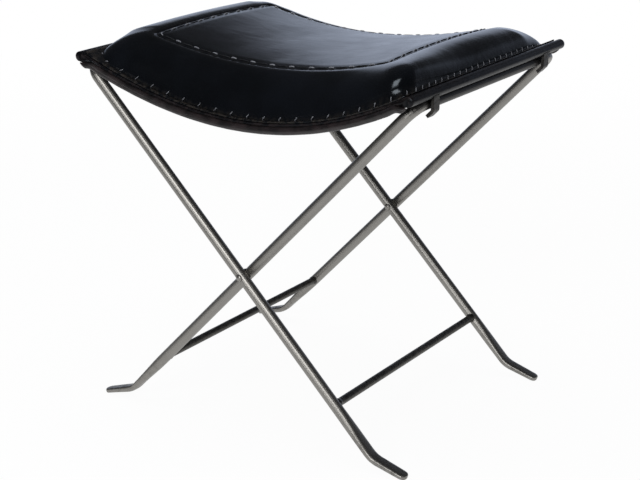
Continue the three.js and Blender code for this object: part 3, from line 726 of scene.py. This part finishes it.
def cushion_form():
    """Rings of the cushion: from its under face over the flange, up the bolster to the seam and on to the
    panel. The bolster climbs as the root of 1 less a power of the share still to go, itself raised to a
    power that makes slack corners climb later and the full one sooner."""
    rings = []

    def ring(plan, rise):
        """Adds the ring over a plan at a rise above the base."""
        rings.append(np.column_stack([plan, sheet_top(plan[:, 0]) + rise]))

    bevelled = FLANGE * (1 - FLANGE_BEVEL / np.linalg.norm(FLANGE, axis=1, keepdims=True))
    ring(bevelled, GAP)
    ring(FLANGE, GAP + FLANGE_BEVEL)
    ring(FLANGE, FLANGE_TOP - FLANGE_TOP_BEVEL)
    ring(bevelled, FLANGE_TOP)
    for share in (0.3, 0.6, 0.85):
        ring(FLANGE + (BODY - FLANGE) * share, FLANGE_TOP)
    crown = panel_crown(SEAM[:, 0], SEAM[:, 1])
    near_x = np.maximum(0, 1 - (BODY_LENGTH - np.abs(BODY[:, 0])) / (BODY_LENGTH - PANEL_LENGTH))
    width = BODY_WIDTH - drawn_in(BODY[:, 0], EDGE_DRAW_IN)
    near_y = np.maximum(0, 1 - (width - np.abs(BODY[:, 1])) / (BODY_WIDTH - PANEL_WIDTH))
    front_right = (BODY[:, 0] > 0) & (BODY[:, 1] < 0)
    slack = CORNER_SLACK * near_x * near_y * ~front_right
    fuller_x = ease(1 - (BODY_LENGTH - BODY[:, 0]) / FULL_ALONG)
    fuller_y = ease(1 - (width + BODY[:, 1]) / FULL_ACROSS)
    power = 1 + slack - CORNER_FULLNESS * (fuller_x * fuller_y)
    for i in range(BOLSTER_RINGS + 1):
        share = (i / BOLSTER_RINGS) ** RING_POWER
        swell = math.sqrt(1 - (1 - share) ** BOLSTER_POWER) ** power
        ring(BODY + (SEAM - BODY) * share, FLANGE_TOP + (crown - FLANGE_TOP) * swell)
    for inset in PANEL_INSETS:
        rounded = max(PANEL_ROUND - inset * ROUND_LOSS, LEAST_ROUND)
        plan = outline(PANEL_LENGTH - inset, PANEL_WIDTH - inset, rounded, PANEL_DRAW_IN)
        ring(plan, panel_crown(plan[:, 0], plan[:, 1]))
    return np.stack(rings)


def inner_patch(ring):
    """Inside points of the patch over a ring's plan."""
    return patch(ring[:, :2])[1:-1, 1:-1].reshape(-1, 2)


def even_out(shift, quads, held):
    """Stout leather keeps no small ripples: each point's shift becomes the mean of itself and its neighbours'
    mean, many times over, while the held points stay."""
    ends = np.concatenate([quads[:, [k, (k + 1) % 4]] for k in range(4)])
    one, other = np.concatenate([ends, ends[:, ::-1]]).T
    count = np.maximum(np.bincount(one, minlength=len(shift)), 1)[:, None]
    for _ in range(RIPPLE_PASSES):
        sums = [np.bincount(one, shift[other, k], len(shift)) for k in range(3)]
        around = np.stack(sums, axis=1) / count
        shift = np.where(held[:, None], shift, (shift + around) / 2)
    return shift


def swell_by_cloth(points, quads, held):
    """Inflates the closed cover with Blender's cloth: pressure inside, no gravity, seams and under face held.
    The shift is evened out and eased down so that no point goes farther than the cap."""
    piece = mesh_object("cushion_cloth", points, quads, [])
    group = piece.vertex_groups.new(name="held")
    group.add(np.flatnonzero(held).tolist(), 1.0, "REPLACE")
    cloth = piece.modifiers.new("cloth", "CLOTH")
    settings = cloth.settings
    settings.quality = 6
    settings.mass = 0.35
    settings.tension_stiffness = 18
    settings.compression_stiffness = 18
    settings.shear_stiffness = 8
    settings.bending_stiffness = 6
    settings.use_pressure = True
    settings.uniform_pressure_force = CLOTH_PRESSURE
    settings.effector_weights.gravity = 0
    settings.vertex_group_mass = "held"
    settings.pin_stiffness = 1
    cloth.collision_settings.use_collision = False
    cloth.point_cache.frame_start = 1
    cloth.point_cache.frame_end = CLOTH_FRAMES
    scene = bpy.context.scene
    for step in range(1, CLOTH_FRAMES + 1):
        scene.frame_set(step)
    graph = bpy.context.evaluated_depsgraph_get()
    made = piece.evaluated_get(graph).data
    moved = np.zeros(len(points) * 3, dtype=np.float32)
    made.vertices.foreach_get("co", moved)
    scene.frame_set(1)
    bpy.data.objects.remove(piece)
    shift = even_out(moved.reshape(-1, 3) / MM - points, quads, held)
    reach = np.linalg.norm(shift, axis=1, keepdims=True)
    print(f"cloth moved at most {reach.max():.2f} mm, mean {reach.mean():.3f} mm")
    return points + shift * (CLOTH_CAP * np.tanh(reach / CLOTH_CAP) / np.maximum(reach, 1e-6))


def cushion(cover_material, panel_material):
    """Stuffed cover and the panel sewn into its top, swollen together and then creased along their seams."""
    rings = cushion_form()
    count = len(rings)
    under = inner_patch(rings[0])
    under = np.column_stack([under, sheet_top(under[:, 0]) + GAP])
    top = inner_patch(rings[-1])
    top = np.column_stack([top, sheet_top(top[:, 0]) + panel_crown(top[:, 0], top[:, 1])])
    points = np.concatenate([rings.reshape(-1, 3), under, top])
    quads = closed_quads(count, len(under))
    held = np.zeros(len(points), dtype=bool)
    held[:(FOOT_RING + 1) * AROUND] = True
    held[SEAM_RING * AROUND:(SEAM_RING + 1) * AROUND] = True
    held[count * AROUND:count * AROUND + len(under)] = True
    points = swell_by_cloth(points, quads, held)
    border = points[:count * AROUND].reshape(count, AROUND, 3).copy()
    under, top = np.split(points[count * AROUND:].copy(), [len(under)])
    crease_and_pinch(border, top)
    cover = stuffed_cover(border, under, top, cover_material)
    panel = sewn_panel(border, top, panel_material)
    return cover, panel, border


def corner_folds(points):
    """Short folds that fan out from each corner of the bolster's foot: a cosine of the angle, inside a bell
    curve of the angle and one of the radius."""
    lift = np.zeros(len(points))
    for sx, sy in ((1, 1), (-1, 1), (-1, -1), (1, -1)):
        dx = sx * points[:, 0] - (BODY_LENGTH - FOLD_INSET)
        dy = sy * points[:, 1] - (BODY_WIDTH - FOLD_INSET)
        angle = np.arctan2(dy, dx) - math.pi / 4
        radius = np.hypot(dx, dy)
        fan = np.cos(angle * FOLD_RATE + FOLD_PHASE[0] * sx + FOLD_PHASE[1] * sy)
        window = np.exp(-((angle / FOLD_FAN) ** 2)) * np.exp(-(((radius - FOLD_RADIUS) / FOLD_BAND) ** 2))
        lift += fan * window * (FULL_FOLDS if sx > 0 > sy else 1.0)
    return lift


def crease_and_pinch(border, top):
    """Works the seams into the swollen leather, in place: a valley along the panel's seam, which on the
    bolster fades towards the foot, a pinch where each thread goes through beside the flange, and the folds at
    the corners, which fade at foot and seam as the root of a sine."""
    climb = border[FOOT_RING:SEAM_RING + 1]
    gone = np.linalg.norm((climb - climb[-1])[..., :2], axis=-1)
    share = 1 - gone / np.maximum(gone[:1], 1e-6)
    climb[..., 2] -= crease(gone) * share
    inside = border[SEAM_RING + 1:]
    inside[..., 2] -= crease(seam_distance(inside[..., 0], inside[..., 1]))
    top[:, 2] -= crease(seam_distance(top[:, 0], top[:, 1]))

    marks = stitch_marks(border[FOOT_RING])
    outward = unit(BODY - SEAM)
    rise = np.linalg.norm(climb - climb[:1], axis=-1)
    pinch = marks[None] * np.exp(-((rise / PINCH_HEIGHT) ** 2)) * np.minimum(1, rise / PINCH_START)
    climb[..., :2] -= outward[None] * (PINCH_DEPTH * pinch)[..., None]
    fold = corner_folds(climb.reshape(-1, 3)).reshape(climb.shape[:2])
    steep = np.sin(np.clip(share, 0, 1) * math.pi) ** 0.5
    climb[..., :2] += outward[None] * (FOLD_OUT * fold * steep)[..., None]
    climb[..., 2] += FOLD_UP * fold * steep


def stuffed_cover(border, under, top, material):
    """The whole closed body; beyond the seam it lies just under the panel. The flange and foot are rubbed."""
    drop = PANEL_THICKNESS + PANEL_LIFT
    rings = np.concatenate([border[:SEAM_RING + 1], border[SEAM_RING:]])
    rings[SEAM_RING + 1:, :, 2] -= drop
    points = np.concatenate([rings.reshape(-1, 3), under, top - (0, 0, drop)])
    wear = np.zeros((len(rings), AROUND))
    wear[:FOOT_RING + 1] = FOOT_WEAR
    wear[:FOOT_RING - 2] = FLANGE_WEAR
    wear[SEAM_RING + 1 - len(SEAM_WEAR):SEAM_RING + 1] = SEAM_WEAR[:, None]
    wear = np.concatenate([wear.ravel(), np.zeros(len(under) + len(top))])
    quads = closed_quads(len(rings), len(under))
    return mesh_object("cushion_cover_leather", points, quads, [material], wear)


def sewn_panel(border, top, material):
    """A closed sheet of leather with rounded edges, set just inside the cover's seam: the panel's rings, and
    the same a thickness lower. Its edge is rubbed."""
    edge = border[SEAM_RING]
    inward = unit(border[SEAM_RING + 1] - edge)
    edge = edge + inward * PANEL_SET_IN
    high_rim = edge - (0, 0, PANEL_ROUND_OFF)
    low_rim = edge + (0, 0, PANEL_ROUND_OFF - PANEL_THICKNESS)
    upper = np.stack([high_rim, edge + inward * PANEL_SHOULDER, *border[SEAM_RING + 1:]])
    lower = (upper[1:] - (0, 0, PANEL_THICKNESS))[::-1]
    rings = np.concatenate([lower, low_rim[None], upper])
    points = np.concatenate([rings.reshape(-1, 3), top - (0, 0, PANEL_THICKNESS), top])
    wear = np.zeros((len(rings), AROUND))
    wear[len(lower):len(lower) + 4] = PANEL_EDGE_WEAR
    wear = np.concatenate([wear.ravel(), np.zeros(2 * len(top))])
    quads = closed_quads(len(rings), len(top))
    return mesh_object("cushion_panel_leather", points, quads, [material], wear)


# ---------------------------------------------------------------- stitching

def around_lengths(ring):
    """Running length at each point of a closed ring, with the whole length last."""
    gaps = np.linalg.norm(np.roll(ring, -1, axis=0) - ring, axis=1)
    return np.concatenate([[0], np.cumsum(gaps)])


def sample(ring, lengths, at):
    """Places on a closed ring at given running lengths."""
    at = np.mod(at, lengths[-1])
    loop = np.concatenate([ring, ring[:1]])
    return np.stack([np.interp(at, lengths, loop[:, k]) for k in range(3)], axis=-1)


def stitch_lengths(ring):
    """Running lengths of the stitches beside the flange: wide apart along the sides, closer at the ends."""
    lengths = around_lengths(ring)
    a, b = LONG_SIDE, SHORT_SIDE
    starts = [0, a, a + b, 2 * a + b, 2 * a + 2 * b]
    found = []
    for i in range(4):
        low, high = lengths[starts[i]], lengths[starts[i + 1]]
        pitch = SIDE_PITCH if i % 2 == 0 else END_PITCH
        number = round((high - low) / pitch)
        found.append(low + (np.arange(number) + 0.5) / number * (high - low))
    return np.concatenate(found), lengths


def stitch_marks(ring):
    """1 at ring points beside a stitch, falling off as a bell curve over a few millimetres."""
    at, lengths = stitch_lengths(ring)
    away = np.abs(lengths[:-1][:, None] - at[None])
    away = np.minimum(away, lengths[-1] - away)
    return np.exp(-((away / PINCH_REACH) ** 2)).sum(axis=1)


def ring_normals(rings, index):
    """Outward unit normals along one ring: square to the way along it and to the way up to the next ring."""
    along = np.roll(rings[index], -1, axis=0) - np.roll(rings[index], 1, axis=0)
    up = rings[index + 1] - rings[index - 1]
    return unit(np.cross(along, up))


def flange_stitches(border, material):
    """Short threads that climb from the flange on to the foot of the bolster, one in each pinch; where the
    foot is steep the climb is shortened to the usual length."""
    at, lengths = stitch_lengths(border[FOOT_RING])
    foot = sample(border[FOOT_RING], lengths, at)
    centres, normals = [], []
    for row in FOOT_RING + STITCH_ROWS:
        low = int(row)
        ring = border[low] + (border[low + 1] - border[low]) * (row - low)
        around = around_lengths(ring)
        here = at * around[-1] / lengths[-1]
        climb = sample(ring, around, here) - foot
        if row > FOOT_RING:
            reach = np.maximum(np.linalg.norm(climb, axis=1, keepdims=True), 1e-6)
            climb = climb * np.minimum(1, STITCH_CLIMB * (row - FOOT_RING) / reach)
        centres.append(foot + climb)
        normals.append(sample(ring_normals(border, low), around, here))
    centres, normals = np.stack(centres, axis=1), unit(np.stack(normals, axis=1))
    centres = centres + normals * STITCH_LIFT[None, :, None]
    points, quads, caps = tubes(centres, normals, THREAD_SHAPE)
    return mesh_object("flange_stitches", points, quads, [material], caps=caps)


def panel_stitches(border, light, dark):
    """Saddle stitching along the panel: long dark threads, and short threads painted pale as a highlight
    where they come up.
    """
    ring = border[STITCH_RING]
    normals = ring_normals(border, STITCH_RING)
    lengths = around_lengths(ring)
    number = round(lengths[-1] / SEAM_PITCH)
    starts = (np.arange(number) + 0.5) / number * lengths[-1]

    def run(name, offset, reach, stations, lift, radius, material):
        """A thread at each start: it arches as 1 less the fourth power of the share of its half length, and
        its radius follows the root of that."""
        along = np.linspace(-reach / 2, reach / 2, stations)
        at = starts[:, None] + offset + along[None]
        place = sample(ring, lengths, at)
        normal = unit(sample(normals, lengths, at))
        end = 1 - np.abs(along / (reach / 2)) ** 4
        place = place + normal * ((lift + THREAD_DIP) * end - THREAD_DIP)[None, :, None]
        radii = radius * (THREAD_TIP + (1 - THREAD_TIP) * np.sqrt(end))
        points, quads, caps = tubes(place, normal, radii)
        return mesh_object(name, points, quads, [material], caps=caps)

    # The short threads are coloured pale grey as a painted highlight where the stitches come up.
    pale = run("panel_stitch_painted_highlight", offset=0.0, reach=PALE_RUN, stations=9,
               lift=0.7, radius=0.8, material=light)
    black = run("panel_stitch_black", offset=SEAM_PITCH / 2, reach=SEAM_PITCH - BLACK_GAP, stations=13,
                lift=0.3, radius=0.6, material=dark)
    return pale, black


# ---------------------------------------------------------------- build the seat

COVER = glazed_leather("black_glazed_leather_bolster")
PANEL = glazed_leather("black_glazed_leather_panel", shine=0.19)
BASE = glazed_leather("black_sling_leather", dark="#080708", worn="#1f1919", shine=0.30, grain=0.15,
                      bend=1.24)
HEM = edge_leather("waxed_rolled_edge_leather")
# Painted highlight: the pale grey of this thread stands in for the shine where the panel stitches come up.
PALE_HIGHLIGHT_THREAD = waxed_thread("waxed_linen_thread_painted_highlight", "#86888f", "#4a4b50")
# Painted highlight: this black thread is coloured mid grey for the shine at each flange stitch.
FLANGE_HIGHLIGHT_THREAD = waxed_thread("black_waxed_thread_painted_highlight", "#7b7d83", "#303136")
BLACK_THREAD = waxed_thread("black_linen_thread", "#17181b", "#050506")

base = seat_base(BASE)
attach(base, "seat")
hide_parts("seat_base")

for name, side, node in (("hem_roll_front", -1, "hem_front"), ("hem_roll_rear", 1, "hem_rear")):
    roll = hem_roll(name, side, HEM)
    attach(roll, "seat")
    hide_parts(node)

cover, panel, border_rings = cushion(COVER, PANEL)
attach(cover, "seat")
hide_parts("cushion_border", "foam_core")
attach(panel, "seat")
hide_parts("cushion_panel")

threads = [flange_stitches(border_rings, FLANGE_HIGHLIGHT_THREAD), *panel_stitches(border_rings, PALE_HIGHLIGHT_THREAD, BLACK_THREAD)]
for thread in threads:
    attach(thread, "seat")


# ---------------------------------------------------------------- iron

IRON_A = brushed_iron("brushed_iron_bow_a", -LEG_TURN, -1.0)
IRON_B = brushed_iron("brushed_iron_bow_b", LEG_TURN, 1.0)
CROSS_IRON = black_iron("blacked_iron_cross_rod", light="#55534f", dark="#3a3936")
RIVET_IRON = brushed_iron("burnished_iron_rivet", 0.0, 0.0)
DARK_IRON = black_iron("oiled_black_iron")

for name, node in nodes.items():
    if name == "bow_a":
        node.data.materials[0] = IRON_A
    elif name == "bow_b":
        node.data.materials[0] = IRON_B
    elif name.startswith("stretcher"):
        node.data.materials[0] = CROSS_IRON
    elif name.startswith(("rivet", "spacer")):
        node.data.materials[0] = RIVET_IRON
    elif name.startswith(("hook", "end_rod")):
        node.data.materials[0] = DARK_IRON


# ---------------------------------------------------------------- studio

def make_floor():
    """Pale round floor: a white that the view and reflections see, mixed near the object with one that takes
    its shadow."""
    mesh = bpy.data.meshes.new("floor")
    turn = full_turn(FLOOR_SIDES)
    rim = np.stack([np.cos(turn), np.sin(turn), np.zeros(FLOOR_SIDES)], axis=1) * FLOOR_REACH
    mesh.from_pydata(rim.tolist(), [], [list(range(FLOOR_SIDES))])
    floor = bpy.data.objects.new("floor", mesh)
    bpy.context.scene.collection.objects.link(floor)
    material, add = new_material("pale_floor")
    diffuse = add("BsdfDiffuse", Color=(0.82, 0.82, 0.82))
    glow = add("Emission", Color=(1.0, 1.0, 1.0), Strength=1.0)
    path = add("LightPath", out="Is Camera Ray").node.outputs
    seen = add("Math", path["Is Camera Ray"], path["Is Glossy Ray"], operation="MAXIMUM")
    seen = add("Math", seen, path["Is Transmission Ray"], operation="MAXIMUM")
    away = add("VectorMath", add("TexCoord", out="Object"), operation="LENGTH")
    share = add("MapRange", away, 0.2 * FLOOR_REACH, FLOOR_REACH, 0.95, 1.0, **SOFT)
    share = add("Math", seen, share, operation="MULTIPLY")
    add("OutputMaterial", add("MixShader", share, diffuse, glow))
    mesh.materials.append(material)


def make_world():
    """White to the camera; reflections see a white wall low down at the back and a dim room beside it; the
    rest is soft plain light."""
    world = bpy.data.worlds.new("studio")
    bpy.context.scene.world = world
    world.use_nodes = True
    world.node_tree.nodes.clear()
    add = functools.partial(add_node, world.node_tree)
    way = add("TexCoord", out="Generated")
    height = add("SeparateXYZ", way, out="Z")
    low = add("MapRange", height, 0.23, 0.42, 1.0, 0.0, **SOFT)
    behind = add("VectorMath", way, WALL_WAY, operation="DOT_PRODUCT", out="Value")
    behind = add("MapRange", behind, 0.5, 0.85, 0.0, 1.0, **SOFT)
    wall = add("Math", low, behind, operation="MULTIPLY")
    room = add("Mix", wall, (0.055, 0.056, 0.060), (0.66, 0.74, 0.92), **COLOUR)
    path = add("LightPath", out="Is Camera Ray").node.outputs
    mirrored = add("Math", path["Is Glossy Ray"], path["Is Transmission Ray"], operation="MAXIMUM")
    soft_light = add("Background", Color=(0.30, 0.31, 0.33))
    light = add("MixShader", mirrored, soft_light, add("Background", Color=room))
    light = add("MixShader", path["Is Camera Ray"], light, add("Background", Color=(1.0, 1.0, 1.0)))
    add("OutputWorld", light)


def make_lamp(name, place, target, size, power):
    """A soft rectangular lamp aimed at a target; sizes in metres, power in watts."""
    data = bpy.data.lights.new(name, "AREA")
    data.shape = "RECTANGLE"
    data.size, data.size_y = size
    data.energy = power
    lamp = bpy.data.objects.new(name, data)
    bpy.context.scene.collection.objects.link(lamp)
    lamp.location = place
    lamp.rotation_euler = (Vector(target) - Vector(place)).to_track_quat("-Z", "Y").to_euler()
    lamp.visible_camera = False
    return lamp


make_floor()
make_world()
make_lamp("front_softbox", place=(0.55, -2.45, 1.5), target=(0, 0, 0.35), size=(1.3, 1.5), power=50.0)
overhead = make_lamp("overhead_lamp", place=(-0.3, 0.2, 2.6), target=(0, 0, 0), size=(2.6, 2.6), power=40.0)
overhead.visible_glossy = False

scene = bpy.context.scene
scene.view_settings.view_transform = "Standard"
